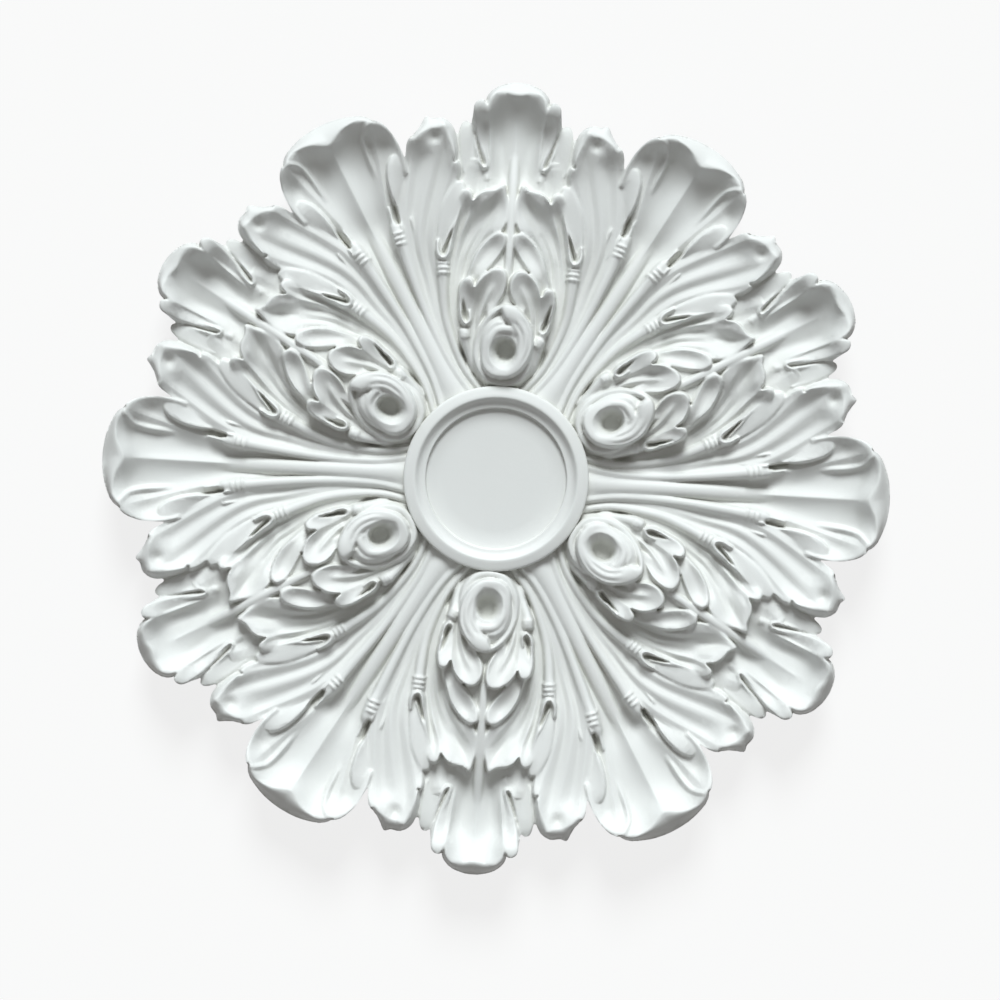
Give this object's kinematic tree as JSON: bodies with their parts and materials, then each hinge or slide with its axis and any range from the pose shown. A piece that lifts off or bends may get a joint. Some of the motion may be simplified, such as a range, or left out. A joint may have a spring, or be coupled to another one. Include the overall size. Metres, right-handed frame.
{
  "type": "ceiling rose",
  "caption": "Round cast plaster ceiling rose: six acanthus leaf units and six broad spoons round a plain ring with a sunk plate.",
  "frame": {"origin": "centre of the flat back, on the rose's axis", "axes": "+Y points from the face into the ceiling, square to the flat back; the carved face looks along -Y; +Z runs from the centre along one fan leaf. On a ceiling the part is turned so that +Y points up."},
  "size_m": [0.604, 0.0532, 0.604],
  "materials": {
    "plaster": "matte white cast plaster with a thin coat of white paint"
  },
  "bodies": {
    "root": {"ceiling_rose": "plaster"}
  },
  "joints": []
}
